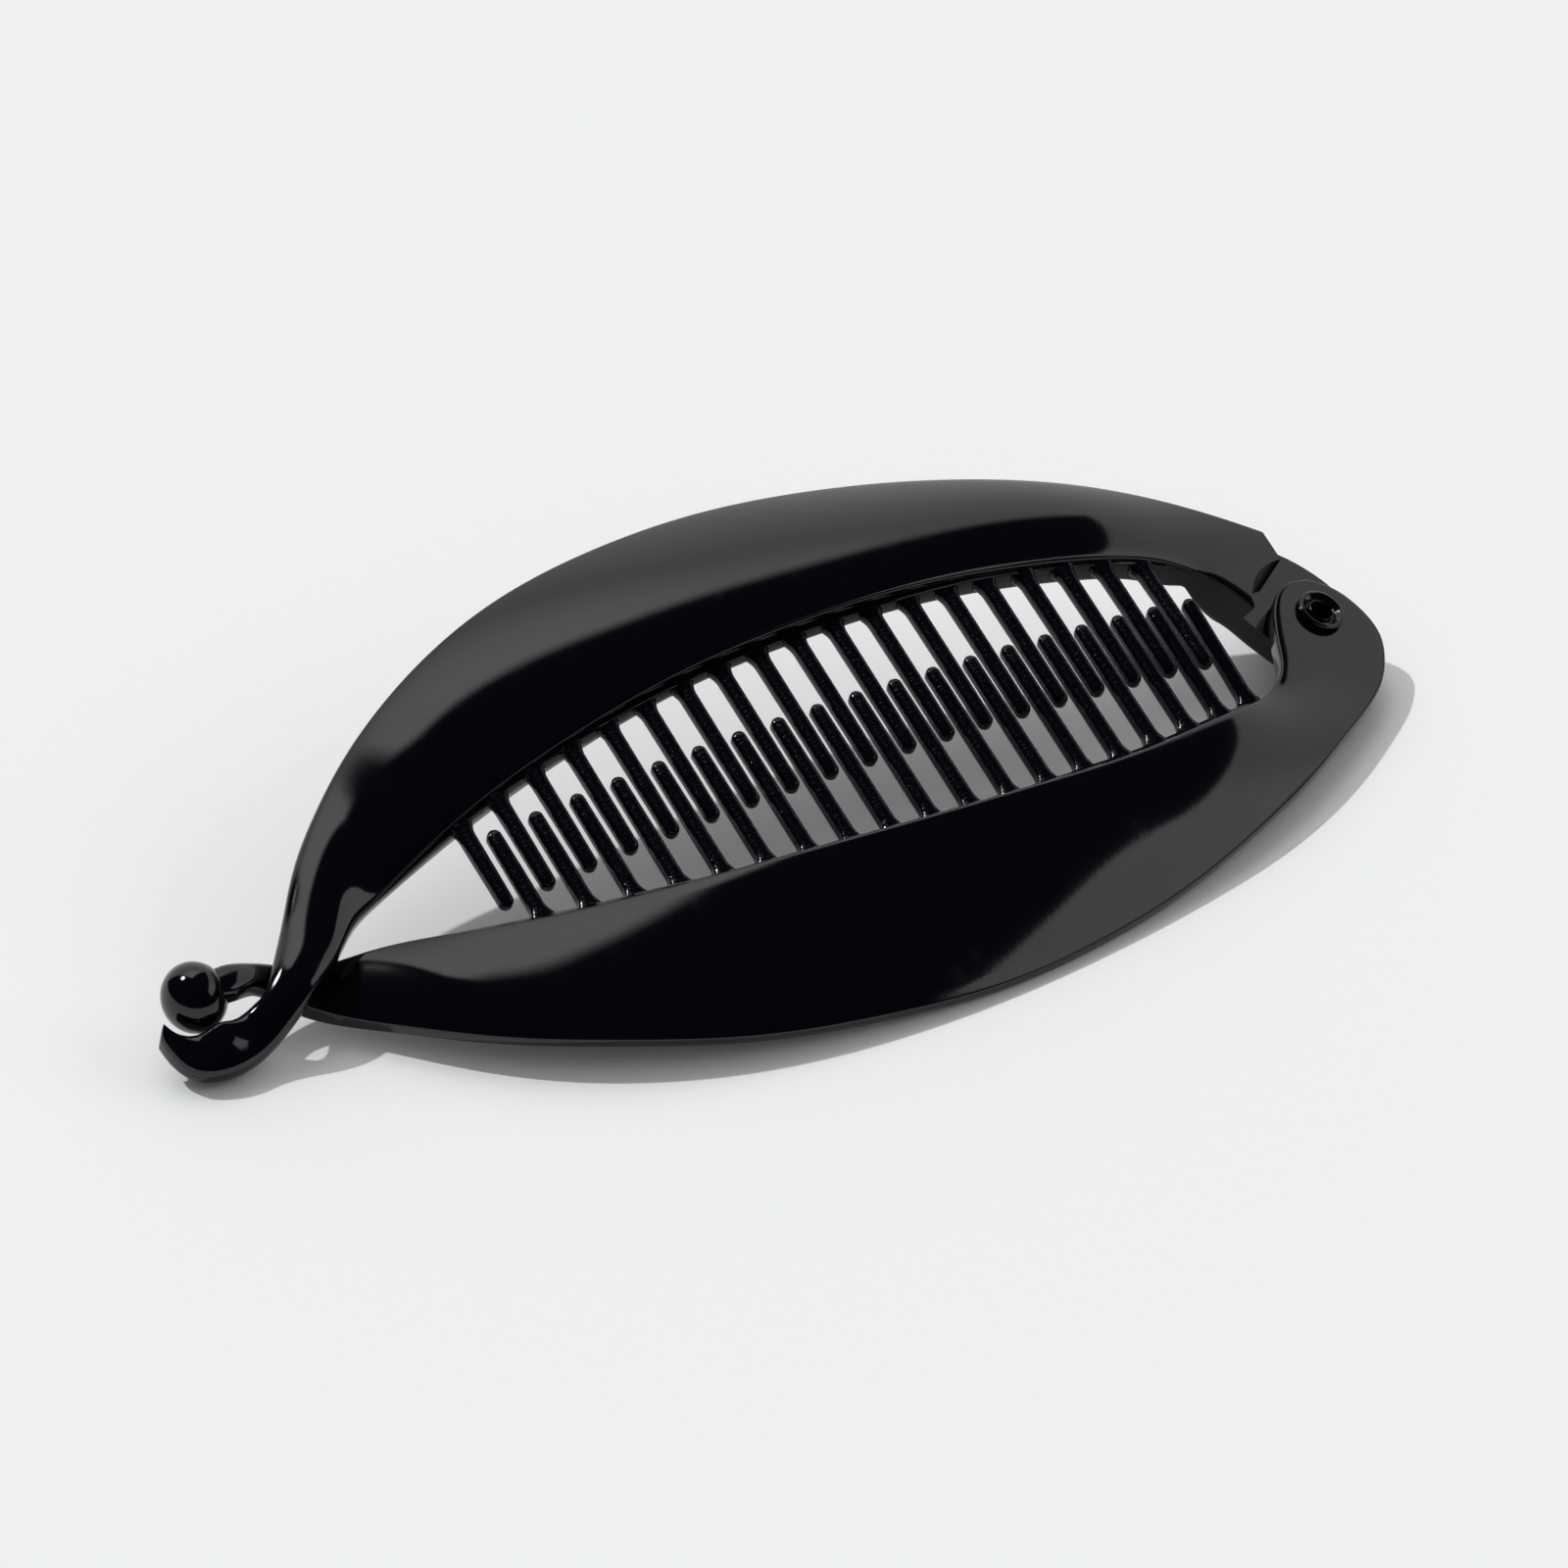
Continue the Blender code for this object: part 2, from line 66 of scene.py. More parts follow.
# Hinge and resting pose, in millimetres and degrees
HINGE = Vector((54.0, 0.0, -6.2))
HINGE_TILT = 12.7
REST_LEAN = 20.8
EAR_TOP = -0.55
UPPER_EAR = 2.1
LOWER_EAR = 3.0
LAP_GAP = 0.3
LAP_RADIUS_TOP = 7.0
LAP_RADIUS_UNDER = 7.4
LAP_STEP_X = 53.8
LAP_STEP_SIZE = 20.0
LAP_STEP_OUT = 8.0
CUT_BELOW = -20.0
BORE_TOP = 10.0
LAP_TOP = 12.0
BORE_RADIUS = 1.95
BORE_SIDES = 128
PIN_RADIUS = 1.62
PIN_HEAD_HEIGHT = 0.45
PIN_FOOT_RADIUS = 2.0
PIN_FOOT_HEIGHT = 1.1
PIN_SEAT_GAP = 0.3
PIN_SIDES = 96
PIN_SHARP_ANGLE = 50

# Comb and shell, in millimetres
COMB_HALF = 40.0
INNER_WALL = 1.6
INNER_WALL_SHARE_MOST = 0.4
ROUNDING_SHARE_MOST = 0.35
UNDERSIDE_SHARE = 0.92
RIM_LIP = 0.25
TOP_POINTS = 16
UNDER_POINTS = 8
HOOK_HALF_THICKER = -0.1
KNOB_HALF_THICKER = 0.3
HOOK_END_REACH = 0.15
EAR_END_REACH = 0.25
END_TURN = 80
SHELL_SHARP_ANGLE = 34
RAIL_PROUD = 0.45
END_RAIL = 0.03
RAIL_TOP_OVER_COMB = 0.85
RAIL_DROP_LEAST = 0.25
RAIL_DROP_MOST = 1.3
COMB_ARCH = (-3.2, 0.58, -0.6)
TOOTH_SINK = 1.0
TOOTH_COVER = 0.3
TOOTH_FLARE = 0.45
TOOTH_FLARE_LENGTH = 1.3
TOOTH_TAPER = 0.9
TOOTH_SQUARENESS = 0.62
TOOTH_SIDES = 20
TOOTH_FLARE_STEPS = 5
TOOTH_BODY_STEPS = 8
TOOTH_TIP_STEPS = 6
TOOTH_TIP_TURN = 81
TOOTH_TIP_FLATTER = 0.65
SECTION_SPACING = 0.7

# Knob at the clasp, in millimetres
KNOB_CENTRE = Vector((-67.2, 0.2, -8.3))
KNOB_FLATNESS = 0.91
KNOB_NECK_RADIUS = 0.85
KNOB_FILLET = 2.0
KNOB_NECK_END = Vector((-62.0, 0.1, -7.35))
KNOB_BALL_STEPS = 48
KNOB_FILLET_STEPS = 12
KNOB_SIDES = 80

# The near half lies a little flatter between its edges than the far one
KNOB_HALF_CROWN = 0.65

# One row for each section of a half. The inner edge faces the other half, the outer edge is the rim;
# y counts outwards from the middle of the clip. crown is the rise of the top surface between the edges,
# rim and inner_drop are the heights of the two walls, skin and rim_skin are the thickness of the shell at
# the inner wall and at the rim, rail is how far the inner wall's rail stands proud, and round_inner and
# round_outer are how far the roundings of the two top edges reach.
Section = namedtuple("Section", "inner outer crown rim inner_drop skin rim_skin rail round_inner round_outer")

# Plan of the flat hinge end, from its tip round the pin to the arm
EAR_PLAN = [
    ((52.7, -4.15), (55.3, -4.1)),
    ((50.9, -3.3), (57.4, -2.7)),
    ((49.3, -1.6), (58.7, -0.6)),
    ((48.2, 0.3), (59.3, 1.6)),
    ((47.3, 2.2), (59.2, 3.7)),
    ((46.5, 4.0), (58.3, 5.8)),
    ((45.4, 5.7), (56.3, 8.5)),
]
NECK_PLAN = ((44.0, 6.9), (53.2, 11.0))
NECK_THINNING = 0.75
NECK_LEAST = 2.0
NECK_CROWN = 0.15
NECK_INNER_DROP = 3.0

ARM_SECTIONS = [
    Section((42.0, 8.1, -3.8), (48.6, 13.8, -5.35), 0.4, 1.7, 3.2, 2.0, 2.0, 0.1, 0.4, 0.2),
    Section((37.5, 9.35, -2.15), (42.0, 17.6, -4.1), 0.9, 1.6, 3.1, 2.2, 2.2, 0.4, 0.45, 0.2),
    Section((31.5, 10.45, -0.9), (34.5, 21.1, -3.2), 1.3, 1.3, 3.0, 1.8, 1.8, RAIL_PROUD, 0.5, 0.2),
    Section((24.0, 11.42, 0.13), (25.0, 24.6, -2.85), 1.5, 1.25, 3.0, 1.6, 1.6, RAIL_PROUD, 0.55, 0.2),
    Section((12.0, 12.0, 1.62), (12.0, 27.65, -2.45), 1.6, 1.25, 3.0, 1.6, 1.6, RAIL_PROUD, 0.55, 0.2),
    Section((0.0, 11.75, 2.11), (0.0, 28.85, -1.95), 1.6, 1.25, 3.0, 1.6, 1.6, RAIL_PROUD, 0.55, 0.2),
    Section((-12.0, 10.87, 1.83), (-12.0, 28.2, -1.35), 1.6, 1.25, 3.0, 1.6, 1.6, RAIL_PROUD, 0.55, 0.2),
    Section((-24.0, 9.18, 0.13), (-24.0, 26.0, -1.25), 1.5, 1.25, 3.0, 1.6, 1.6, RAIL_PROUD, 0.5, 0.2),
    Section((-36.0, 6.55, -2.31), (-36.0, 21.35, -2.05), 1.3, 1.25, 2.8, 1.6, 1.6, RAIL_PROUD, 0.5, 0.2),
    Section((-42.0, 4.61, -3.91), (-42.0, 18.05, -3.25), 1.2, 1.25, 2.3, 1.6, 1.6, 0.3, 0.5, 0.3),
]

HOOK_SECTIONS = [
    Section((-48.0, 2.38, -5.7), (-48.0, 13.6, -4.7), 1.1, 1.25, 1.7, 1.6, 1.6, 0.05, 0.5, 0.5),
    Section((-51.5, 0.3, -5.6), (-53.5, 8.1, -5.1), 0.9, 1.25, 1.4, 1.6, 1.6, 0.03, 0.5, 0.9),
    Section((-54.4, -2.2, -5.4), (-57.0, 3.4, -5.5), 0.7, 1.25, 1.3, 1.5, 1.5, 0.03, 0.4, 0.9),
    Section((-57.3, -4.2, -5.5), (-59.9, -0.4, -5.6), 0.75, 1.25, 1.4, 1.2, 1.25, 0.03, 0.4, 0.9),
    Section((-59.9, -5.7, -6.7), (-61.8, -2.6, -6.0), 0.6, 1.35, 1.5, 1.1, 1.35, 0.03, 0.4, 0.8),
    Section((-62.4, -6.8, -8.2), (-63.1, -3.0, -6.9), 0.6, 4.8, 1.5, 1.2, 4.7, 0.03, 0.4, 0.8),
    Section((-65.0, -7.6, -8.9), (-65.05, -3.4, -7.6), 0.7, 4.9, 1.4, 1.2, 4.8, 0.03, 0.4, 0.6),
    Section((-67.3, -7.85, -8.95), (-67.0, -3.6, -7.0), 0.6, 5.9, 1.3, 1.2, 5.8, 0.03, 0.4, 0.5),
    Section((-69.6, -7.2, -9.1), (-68.9, -3.6, -7.9), 0.6, 4.9, 1.3, 1.2, 4.8, 0.03, 0.4, 0.5),
    Section((-71.1, -5.7, -9.1), (-70.4, -2.8, -8.0), 0.5, 3.8, 1.3, 1.2, 3.7, 0.03, 0.4, 0.5),
    Section((-71.7, -3.9, -9.0), (-70.9, -2.1, -7.9), 0.3, 2.9, 1.3, 1.2, 2.8, 0.03, 0.4, 0.4),
    Section((-71.85, -2.6, -8.95), (-71.15, -1.5, -7.9), 0.2, 2.5, 1.3, 1.2, 2.4, 0.03, 0.3, 0.3),
]

TAIL_SECTIONS = [
    Section((-48.0, 2.4, -5.95), (-48.0, 13.5, -5.35), 1.0, 1.25, 1.9, 1.6, 1.6, 0.05, 0.4, 0.3),
    Section((-51.0, 1.5, -7.1), (-51.2, 10.4, -6.9), 0.6, 1.3, 1.8, 1.6, 1.6, 0.03, 0.4, 0.3),
    Section((-54.0, 0.8, -8.2), (-54.3, 7.2, -8.5), 0.25, 1.5, 1.8, 1.7, 1.7, 0.03, 0.4, 0.4),
    Section((-56.8, 0.1, -8.35), (-57.3, 4.3, -9.1), 0.15, 1.8, 2.2, 2.0, 2.0, 0.03, 0.4, 0.5),
    Section((-59.4, -0.9, -7.7), (-59.8, 2.5, -8.1), 0.2, 1.8, 1.9, 1.9, 1.9, 0.03, 0.6, 0.7),
    Section((-62.0, -1.5, -6.95), (-62.0, 1.5, -7.0), 0.3, 1.6, 1.6, 1.6, 1.6, 0.03, 0.7, 0.7),
    Section((-64.2, -1.6, -6.4), (-64.2, 1.8, -6.2), 0.3, 1.7, 1.7, 1.8, 1.8, 0.03, 0.7, 0.7),
    Section((-66.2, -1.2, -6.3), (-66.2, 1.3, -6.0), 0.3, 2.4, 2.4, 2.4, 2.4, 0.03, 0.7, 0.7),
]

# Camera round the clip, as the photo shows it: degrees, and millimetres in the clip's frame
CAMERA_AZIMUTH = -31.95
CAMERA_ELEVATION = 35.3
CAMERA_ROLL = 1.32
CAMERA_DISTANCE = 800.0
CAMERA_TARGET = Vector((-6.83, -0.59, -4.08))
CAMERA_LENS = 199.2
SENSOR_WIDTH = 36.0

# Studio: where the hard light stands, the sizes of the lights in degrees, and the slopes of the planes
# that bound the white walls as seen from the clip. The top edge of the back wall moves away with height
# and towards both sides; the walls are brighter high up and at the camera's side.
KEY_DIRECTION = (-0.371, 0.507, 0.778)
KEY_ANGLE = 1.6
BACK_WALL_TOP = (0.213, 0.4)
BACK_WALL_LEFT = -0.4
SIDE_WALL_TOP = (1.08, 0.3)
SIDE_WALL_RIGHT = -1.28
SIDE_WALL_FOOT = (0.3, 0.42)
WALL_EDGE = 0.05
SIDE_WALL_EDGE = 0.008
WALL_LEVEL = 0.4
HIGH_WALL_LEVEL = 0.5
HIGH_WALL = (0.62, 0.95)
CAMERA_SIDE_LEVEL = 0.2
CAMERA_SIDE = (-0.3, 0.0)
DARK_ROOM = (0.006, 0.006, 0.008, 1)
WHITE = (1, 1, 1, 1)
GLINT_ANGLE = 12.0
CEILING_ANGLE = 140.0


class ClipSizes(bpy.types.PropertyGroup):
    """Sizes of the clip that a user would change."""
    teeth: IntProperty(name="Teeth", description="Teeth on each half", default=19, min=1)
    tooth_pitch: FloatProperty(name="Tooth pitch", description="Distance between the teeth of a half",
                               default=4.2 * MM, unit='LENGTH')
    tooth_width: FloatProperty(name="Tooth width", description="Width of a tooth along the comb",
                               default=1.6 * MM, unit='LENGTH')
    tooth_thickness: FloatProperty(name="Tooth thickness", description="Thickness of a tooth",
                                   default=1.5 * MM, unit='LENGTH')
    tooth_reach: FloatProperty(name="Tooth reach", description="How far a tooth passes the middle",
                               default=3.9 * MM, unit='LENGTH')
    knob_radius: FloatProperty(name="Knob radius", description="Radius of the ball at the clasp",
                               default=3.3 * MM, unit='LENGTH')
    pin_head_radius: FloatProperty(name="Pin head radius", description="Radius of the hinge pin's head",
                                   default=2.35 * MM, unit='LENGTH')
    pin_hole_radius: FloatProperty(name="Pin hole radius", description="Radius of the hinge pin's hole",
                                   default=1.1 * MM, unit='LENGTH')


class ClipLooks(bpy.types.PropertyGroup):
    """Colours and light of the clip and its studio."""
    plastic: FloatVectorProperty(name="Plastic", description="Colour of the moulded plastic",
                                 default=(0.0014, 0.0014, 0.0020), subtype='COLOR', min=0, max=1)
    roughness: FloatProperty(name="Roughness", description="Roughness of the polished shells",
                             default=0.06, min=0, max=1, subtype='FACTOR')
    floor: FloatVectorProperty(name="Floor", description="Colour of the studio floor",
                               default=(0.85, 0.85, 0.85), subtype='COLOR', min=0, max=1)
    key_power: FloatProperty(name="Key light", description="Strength of the key light", default=1.65)
    fill_power: FloatProperty(name="Fill light", description="Strength of the surroundings", default=2.0)
    glint_power: FloatProperty(name="Highlights", description="Strength of the panel in the gloss",
                               default=0.8)
    ceiling_power: FloatProperty(name="Ceiling light", description="Strength of the ceiling's bounce",
                                 default=1.0)


class Value:
    """A shader socket that takes part in Python expressions."""

    def __init__(self, graph, socket):
        self.graph = graph
        self.socket = socket

    def combine(self, operation, first, second):
        return self.graph.add("ShaderNodeMath", {"operation": operation}, {0: first, 1: second})

    def __add__(self, other):
        return self.combine('ADD', self, other)

    __radd__ = __add__

    def __sub__(self, other):
        return self.combine('SUBTRACT', self, other)

    def __rsub__(self, other):
        return self.combine('SUBTRACT', other, self)

    def __mul__(self, other):
        return self.combine('MULTIPLY', self, other)

    __rmul__ = __mul__


class Graph:
    """A node tree that is built one node at a time."""

    def __init__(self, tree):
        self.tree = tree

    def add(self, kind, settings=None, sockets=None, output=0):
        """A new node: its settings first, then its sockets' values or links; returns one output."""
        node = self.tree.nodes.new(kind)
        for name, value in (settings or {}).items():
            setattr(node, name, value)
        for name, value in (sockets or {}).items():
            self.feed(node.inputs[name], value)
        return Value(self, node.outputs[output])

    def feed(self, socket, value):
        """Link or set one input socket."""
        if isinstance(value, Value):
            self.tree.links.new(value.socket, socket)
        else:
            socket.default_value = value

    def smooth_step(self, value, low, high):
        """0 below low, 1 above high and smooth between them."""
        return self.add("ShaderNodeMapRange", {"interpolation_type": 'SMOOTHSTEP'},
                        {"Value": value, "From Min": low, "From Max": high})


def blend(graph, share, first, second):
    """Mix of two colours by a varying share."""
    return graph.add("ShaderNodeMix", {"data_type": 'RGBA'}, {0: share, 6: first, 7: second}, 2)


def tint(colour, factor):
    """The colour made brighter or darker, with full alpha."""
    return (*(factor * c for c in colour), 1)


def new_material(name):
    """A material with only its Principled shader: the material, its graph and the shader node."""
    material = bpy.data.materials.new(name)
    material.use_nodes = True
    return material, Graph(material.node_tree), material.node_tree.nodes["Principled BSDF"]


def polished_plastic(name, looks):
    """Gloss black plastic as it leaves a polished mould: faint flow ripples, haze and a few rubs."""
    material, graph, shader = new_material(name)
    place = graph.add("ShaderNodeTexCoord", output="Object")
    stretched = graph.add("ShaderNodeMapping", {}, {"Vector": place, "Scale": (1.0, 0.25, 0.4)})
    ripple = graph.add("ShaderNodeTexNoise", {}, {"Vector": stretched, "Scale": 2400.0, "Detail": 2.0})
    swell = graph.add("ShaderNodeTexNoise", {}, {"Vector": place, "Scale": 140.0, "Detail": 1.0})
    haze = graph.add("ShaderNodeTexNoise", {}, {"Vector": place, "Scale": 320.0, "Detail": 4.0})
    rubs = graph.smooth_step(haze, 0.58, 0.75)
    shade = blend(graph, haze, tint(looks.plastic, 1), tint(looks.plastic, 1.6))
    graph.feed(shader.inputs["Base Color"], shade)
    graph.feed(shader.inputs["Roughness"], looks.roughness + 0.03 * haze + 0.04 * rubs)
    graph.feed(shader.inputs["Normal"], graph.add(
        "ShaderNodeBump", {}, {"Strength": 0.25, "Distance": 0.02 * MM, "Height": ripple * 0.3 + swell}))
    shader.inputs["IOR"].default_value = 1.5
    return material


def comb_plastic(name, looks):
    """The same plastic on the teeth, where the mould is less polished: fine pits that sparkle."""
    material, graph, shader = new_material(name)
    place = graph.add("ShaderNodeTexCoord", output="Object")
    pits = graph.add("ShaderNodeTexNoise", {}, {"Vector": place, "Scale": 3200.0, "Detail": 2.0})
    haze = graph.add("ShaderNodeTexNoise", {}, {"Vector": place, "Scale": 700.0, "Detail": 3.0})
    shade = blend(graph, haze, tint(looks.plastic, 1), tint(looks.plastic, 1.8))
    graph.feed(shader.inputs["Base Color"], shade)
    graph.feed(shader.inputs["Roughness"], looks.roughness + 0.12 * haze)
    bump = graph.add("ShaderNodeBump", {}, {"Strength": 0.8, "Distance": 0.06 * MM, "Height": pits})
    graph.feed(shader.inputs["Normal"], bump)
    shader.inputs["IOR"].default_value = 1.5
    shader.inputs["Specular IOR Level"].default_value = 0.2
    return material


def studio_floor(looks):
    """Matt pale paper with a faint tooth."""
    material, graph, shader = new_material("studio_paper")
    place = graph.add("ShaderNodeTexCoord", output="Object")
    tooth = graph.add("ShaderNodeTexNoise", {}, {"Vector": place, "Scale": 900.0, "Detail": 3.0})
    shade = blend(graph, tooth, tint(looks.floor, 0.99), tint(looks.floor, 1.01))
    graph.feed(shader.inputs["Base Color"], shade)
    shader.inputs["Roughness"].default_value = 0.95
    shader.inputs["Specular IOR Level"].default_value = 0.1
    return material


def ear_top_z(x):
    """Height of the flat top of the hinge ears."""
    tilt = math.radians(HINGE_TILT)
    return HINGE.z + EAR_TOP / math.cos(tilt) - math.tan(tilt) * (x - HINGE.x)


def ear_sections(thickness, rim):
    """Sections of the flat hinge end, whose edges lie on the ear's top plane."""
    rows = []
    for inner, outer in EAR_PLAN:
        inner_edge = (*inner, ear_top_z(inner[0]))
        outer_edge = (*outer, ear_top_z(outer[0]))
        rows.append(Section(inner_edge, outer_edge, 0.0, rim, thickness, thickness, thickness,
                            END_RAIL, 0.4, 0.4))
    inner, outer = NECK_PLAN
    neck = max(thickness * NECK_THINNING, NECK_LEAST)
    inner_edge = (*inner, ear_top_z(inner[0]))
    outer_edge = (*outer, ear_top_z(outer[0]))
    rows.append(Section(inner_edge, outer_edge, NECK_CROWN, rim * NECK_THINNING, NECK_INNER_DROP, neck, neck,
                        END_RAIL, 0.4, 0.3))
    return rows


def comb_z(x):
    """Height of the middle of the comb, which arches along the clip."""
    u = x / COMB_HALF
    square, cube, fourth = COMB_ARCH
    return square * u ** 2 + cube * u ** 3 + fourth * u ** 4


def smooth_curve(knots, values, samples):
    """Natural cubic spline through rows of values at the knots, read at the samples."""
    count = len(knots)
    gaps = np.diff(knots)
    slopes = np.diff(values, axis=0) / gaps[:, None]
    system = np.eye(count)
    right = np.zeros_like(values)
    for i in range(1, count - 1):
        system[i, i - 1:i + 2] = gaps[i - 1], 2 * (gaps[i - 1] + gaps[i]), gaps[i]
        right[i] = 6 * (slopes[i] - slopes[i - 1])
    bends = np.linalg.solve(system, right)
    spans = np.clip(np.searchsorted(knots, samples, side="right") - 1, 0, count - 2)
    gap = gaps[spans][:, None]
    after = (samples - knots[spans])[:, None]
    before = gap - after
    return (bends[spans] * before ** 3 / (6 * gap) + bends[spans + 1] * after ** 3 / (6 * gap)
            + (values[spans] / gap - bends[spans] * gap / 6) * before
            + (values[spans + 1] / gap - bends[spans + 1] * gap / 6) * after)


def refine(sections):
    """Many close sections on a smooth curve through all the values of the given ones."""
    values = np.array([[*s.inner, *s.outer, *s[2:]] for s in sections])
    steps = (np.linalg.norm(np.diff(values[:, 0:3], axis=0), axis=1)
             + np.linalg.norm(np.diff(values[:, 3:6], axis=0), axis=1)) / 2
    knots = np.concatenate([[0.0], np.cumsum(steps)])
    samples = np.linspace(0.0, knots[-1], round(knots[-1] / SECTION_SPACING) + 1)
    rows = smooth_curve(knots, values, samples).tolist()
    return [Section(tuple(r[0:3]), tuple(r[3:6]), *r[6:]) for r in rows]


def corner(start, control, end, steps):
    """Rounding from start to end that leans on the corner point between them."""
    points = []
    for i in range(steps + 1):
        t = i / steps
        points.append(start * (1 - t) ** 2 + control * (2 * t * (1 - t)) + end * t ** 2)
    return points


def section_outline(section):
    """Closed rounded outline of one section: top, rim, underside, inner wall and its rail."""
    inner = Vector(section.inner)
    outer = Vector(section.outer)
    width = (outer - inner).length
    across = (outer - inner) / width

    def top(f):
        return inner.lerp(outer, f) + Vector((0, 0, 4 * section.crown * f * (1 - f)))

    def under(f):
        return top(f) + DOWN * (section.skin + (section.rim_skin - section.skin) * f)

    near = min(section.round_inner, ROUNDING_SHARE_MOST * width)
    far = min(section.round_outer, ROUNDING_SHARE_MOST * width)
    wall = min(INNER_WALL / width, INNER_WALL_SHARE_MOST)
    foot_drop = max(section.inner_drop, section.skin + 0.05)
    foot = inner + DOWN * foot_drop
    rail_drop = inner.z - comb_z(inner.x) - RAIL_TOP_OVER_COMB
    rail_drop = min(max(rail_drop, RAIL_DROP_LEAST, near * 1.05), RAIL_DROP_MOST, section.inner_drop / 2)
    near_drop = min(near, rail_drop * 0.95)
    far_drop = min(far, section.rim * 0.45)
    rail = foot - across * section.rail
    rail_top = inner + DOWN * rail_drop - across * section.rail

    points = corner(inner + DOWN * near_drop, inner, top(near / width), 5)
    for i in range(1, TOP_POINTS):
        f = near / width + (1 - (near + far) / width) * i / TOP_POINTS
        points.append(top(f))
    points += corner(top(1 - far / width), outer, outer + DOWN * far_drop, 5)
    rim_foot = outer + DOWN * section.rim
    lip = min(RIM_LIP, section.rim * 0.3)
    last = min(UNDERSIDE_SHARE, 1 - 1.4 * lip / width)
    points += corner(rim_foot - DOWN * lip, rim_foot, rim_foot.lerp(under(last), 0.4), 3)
    for i in range(UNDER_POINTS):
        points.append(under(last + (wall - last) * i / (UNDER_POINTS - 1)))
    heel = foot + across * wall * width
    points += corner(heel.lerp(under(wall), 0.4), heel, heel.lerp(foot, 0.2), 2)
    points += corner(rail.lerp(foot, 0.4) + across * 0.1, rail, rail.lerp(rail_top, 0.15), 2)
    points += corner(rail_top.lerp(rail, 0.15), rail_top, rail_top + across * section.rail * 0.5, 3)
    points.append(inner + DOWN * rail_drop)
    return points


def join_rings(bm, a, b):
    """Faces between two closed rings of vertices."""
    for i in range(len(a)):
        j = (i + 1) % len(a)
        bm.faces.new((a[i], a[j], b[j], b[i]))


def skin_rings(bm, rings):
    """Faces between rings of equal point counts, closed at both ends."""
    made = [[bm.verts.new(p) for p in ring] for ring in rings]
    for a, b in zip(made[:-1], made[1:]):
        join_rings(bm, a, b)
    bm.faces.new(made[0])
    bm.faces.new(reversed(made[-1]))


def dome(ring, direction, reach, steps=4):
    """Rings that shrink from the given one to a rounded end."""
    middle = sum(ring, Vector()) / len(ring)
    rings = []
    for i in range(1, steps + 1):
        angle = math.radians(END_TURN) * i / steps
        forward = direction * reach * math.sin(angle)
        rings.append([middle + (p - middle) * math.cos(angle) + forward for p in ring])
    return rings


def leading_out(end, before):
    """Direction in which the path of the sections leaves at an end."""
    return (Vector(end.inner) - Vector(before.inner) + Vector(end.outer) - Vector(before.outer)).normalized()


def half_shell(hinge_sections, end_sections, side, thicker, crown_share, end_reach):
    """Shell of one half from the hinge ear to the clasp end; side is +1 or -1 along Y."""
    arm = [s._replace(skin=s.skin + thicker, rim_skin=s.rim_skin + thicker, crown=s.crown * crown_share)
           for s in ARM_SECTIONS]
    sections = refine(hinge_sections + arm + end_sections)
    rings = [section_outline(s) for s in sections]
    if end_reach > 0:
        rings += dome(rings[-1], leading_out(sections[-1], sections[-2]), end_reach)
    rings = dome(rings[0], leading_out(sections[0], sections[1]), EAR_END_REACH, 3)[::-1] + rings
    bm = bmesh.new()
    skin_rings(bm, [[Vector((p.x, p.y * side, p.z)) for p in ring] for ring in rings])
    bmesh.ops.triangulate(bm, faces=bm.faces)
    return bm


def inner_edge(x):
    """Distance of a half's inner edge from the middle of the clip, and its height, at x along the comb."""
    edge = sorted(s.inner for s in refine(ARM_SECTIONS))
    along = [p[0] for p in edge]
    return [float(np.interp(x, along, [p[axis] for p in edge])) for axis in (1, 2)]


def tooth_ring(x, y, z, width, thickness):
    """Ring of a tooth: a squared ellipse, flat above and below and round at the corners."""
    ring = []
    for i in range(TOOTH_SIDES):
        angle = 2 * math.pi * (i + 0.5) / TOOTH_SIDES
        c = math.cos(angle)
        s = math.sin(angle)
        ring.append(Vector((x + width / 2 * math.copysign(abs(c) ** TOOTH_SQUARENESS, c), y,
                            z + thickness / 2 * math.copysign(abs(s) ** TOOTH_SQUARENESS, s))))
    return ring


def tooth_rings(x, side, sizes):
    """Rings of one tooth, from inside the inner wall through a flared root to its round tip."""
    width = sizes.tooth_width / MM
    thickness = sizes.tooth_thickness / MM
    edge_y, edge_z = inner_edge(x)
    root = edge_y - RAIL_PROUD
    root_z = min(comb_z(x), edge_z - TOOTH_COVER - thickness / 2)
    tip = -sizes.tooth_reach / MM
    tip_width = width * TOOTH_TAPER
    stations = [(root + TOOTH_SINK, width + 2 * TOOTH_FLARE, thickness)]
    for i in range(TOOTH_FLARE_STEPS + 1):
        f = i / TOOTH_FLARE_STEPS
        stations.append((root - TOOTH_FLARE_LENGTH * f, width + 2 * TOOTH_FLARE * (1 - f) ** 2, thickness))
    body_end = tip + tip_width / 2
    for i in range(1, TOOTH_BODY_STEPS + 1):
        f = i / TOOTH_BODY_STEPS
        y = root - TOOTH_FLARE_LENGTH + (body_end - root + TOOTH_FLARE_LENGTH) * f
        stations.append((y, width + (tip_width - width) * f, thickness))
    for i in range(1, TOOTH_TIP_STEPS + 1):
        angle = math.radians(TOOTH_TIP_TURN) * i / TOOTH_TIP_STEPS
        stations.append((body_end - tip_width / 2 * math.sin(angle), tip_width * math.cos(angle),
                         thickness * (1 - TOOTH_TIP_FLATTER * (1 - math.cos(angle)))))
    rings = []
    for y, w, t in stations:
        z = comb_z(x) + (root_z - comb_z(x)) * (y - tip) / (root - tip)
        rings.append(tooth_ring(x, y * side, z, w, t))
    return rings


